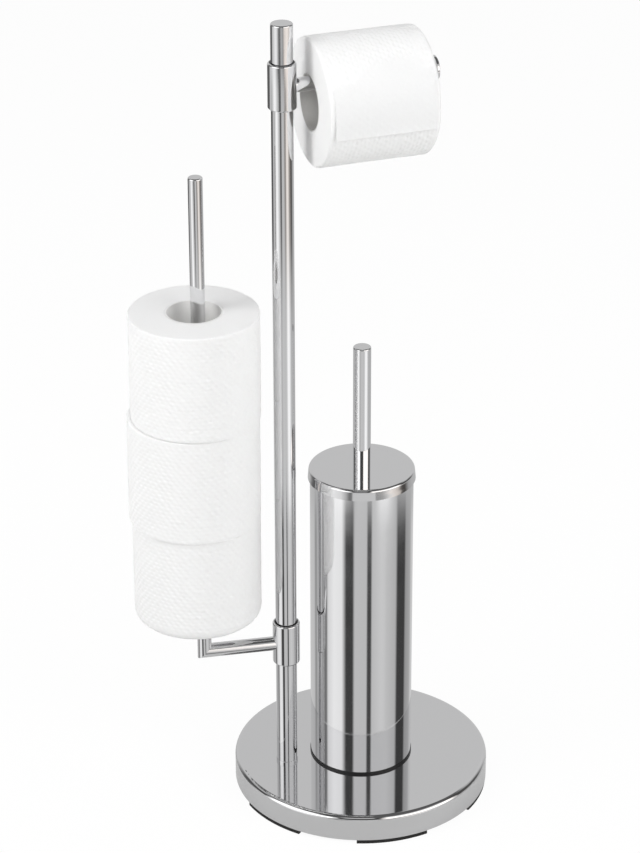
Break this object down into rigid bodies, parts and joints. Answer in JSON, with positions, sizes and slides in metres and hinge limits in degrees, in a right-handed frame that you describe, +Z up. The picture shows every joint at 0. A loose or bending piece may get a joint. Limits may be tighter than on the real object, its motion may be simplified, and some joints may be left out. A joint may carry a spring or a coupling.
{
  "type": "toilet roll and brush stand",
  "caption": "Free-standing bathroom stand with a weighted round plate, a post with a roll arm and a spare roll spindle, and a lidded brush holder.",
  "frame": {"origin": "on the floor under the middle of the whole stand, which is 44.3 mm from the centre of the plate towards the spare rolls", "axes": "+Z up; +X from the post towards the brush holder and along the upper arm; -Y is the front that the loose sheet hangs on"},
  "size_m": [0.3085, 0.22, 0.704],
  "materials": {
    "polished_steel": "polished",
    "cast_iron": "matte",
    "black_plastic": "satin",
    "black_rubber": "matte",
    "zinc_steel": "satin",
    "brass": "satin",
    "tissue": "matte",
    "core_board": "matte",
    "white_plastic": "satin",
    "bristle_plastic": "matte"
  },
  "bodies": {
    "stand": {"base_cover": "polished_steel", "base_weight": "cast_iron", "base_underplate": "black_plastic", "foot_pads": "black_rubber", "underplate_screws": "zinc_steel", "post_bolt": "zinc_steel", "post_bolt_washer": "zinc_steel", "post_base_insert": "brass", "post_foot_ring": "polished_steel", "post_lower_tube": "polished_steel", "post_connector": "zinc_steel", "post_upper_tube": "polished_steel", "post_cap": "polished_steel", "holder_pad": "black_plastic", "holder_bottom": "polished_steel", "holder_sleeve": "polished_steel", "holder_liner": "white_plastic", "holder_screw": "zinc_steel"},
    "roll_arm": {"upper_sleeve": "polished_steel", "upper_bush": "black_plastic", "upper_set_screw": "zinc_steel", "roll_arm_rod": "polished_steel", "roll_arm_end_disc": "polished_steel"},
    "hanging_roll": {"paper_roll": "tissue", "paper_roll_core": "core_board"},
    "spare_arm": {"lower_sleeve": "polished_steel", "lower_bush": "black_plastic", "lower_set_screw": "zinc_steel", "spare_arm_rod": "polished_steel", "spare_spindle": "polished_steel", "spindle_cap": "polished_steel", "roll_plate": "polished_steel"},
    "bottom_spare": {"spare_roll_bottom": "tissue", "spare_core_bottom": "core_board"},
    "middle_spare": {"spare_roll_middle": "tissue", "spare_core_middle": "core_board"},
    "top_spare": {"spare_roll_top": "tissue", "spare_core_top": "core_board"},
    "brush": {"lid": "polished_steel", "lid_guide": "white_plastic", "handle_tube": "polished_steel", "handle_insert": "zinc_steel", "handle_cap": "polished_steel", "brush_stem": "white_plastic", "brush_core": "white_plastic", "brush_bristles": "bristle_plastic"}
  },
  "joints": [
    {"name": "roll_arm_swivel", "type": "hinge", "parent": "stand", "child": "roll_arm", "pos_m": [-0.02274, 0, 0.651], "axis": [0, 0, 1], "range_deg": [-90, 90]},
    {"name": "paper_roll_spin", "type": "hinge", "parent": "roll_arm", "child": "hanging_roll", "pos_m": [0.04636, 0.00362, 0.6348], "axis": [0.9986, 0.0523, 0], "continuous": true},
    {"name": "spare_arm_swivel", "type": "hinge", "parent": "stand", "child": "spare_arm", "pos_m": [-0.02274, 0, 0.1445], "axis": [0, 0, 1], "range_deg": [-75, 75]},
    {"name": "bottom_spare_lift", "type": "slide", "parent": "spare_arm", "child": "bottom_spare", "axis": [0, 0, 1], "range_m": [0, 0.4]},
    {"name": "middle_spare_lift", "type": "slide", "parent": "bottom_spare", "child": "middle_spare", "axis": [0, 0, 1], "range_m": [0, 0.31]},
    {"name": "top_spare_lift", "type": "slide", "parent": "middle_spare", "child": "top_spare", "axis": [0, 0, 1], "range_m": [0, 0.215]},
    {"name": "brush_lift", "type": "slide", "parent": "stand", "child": "brush", "axis": [0, 0, 1], "range_m": [0, 0.16]}
  ]
}
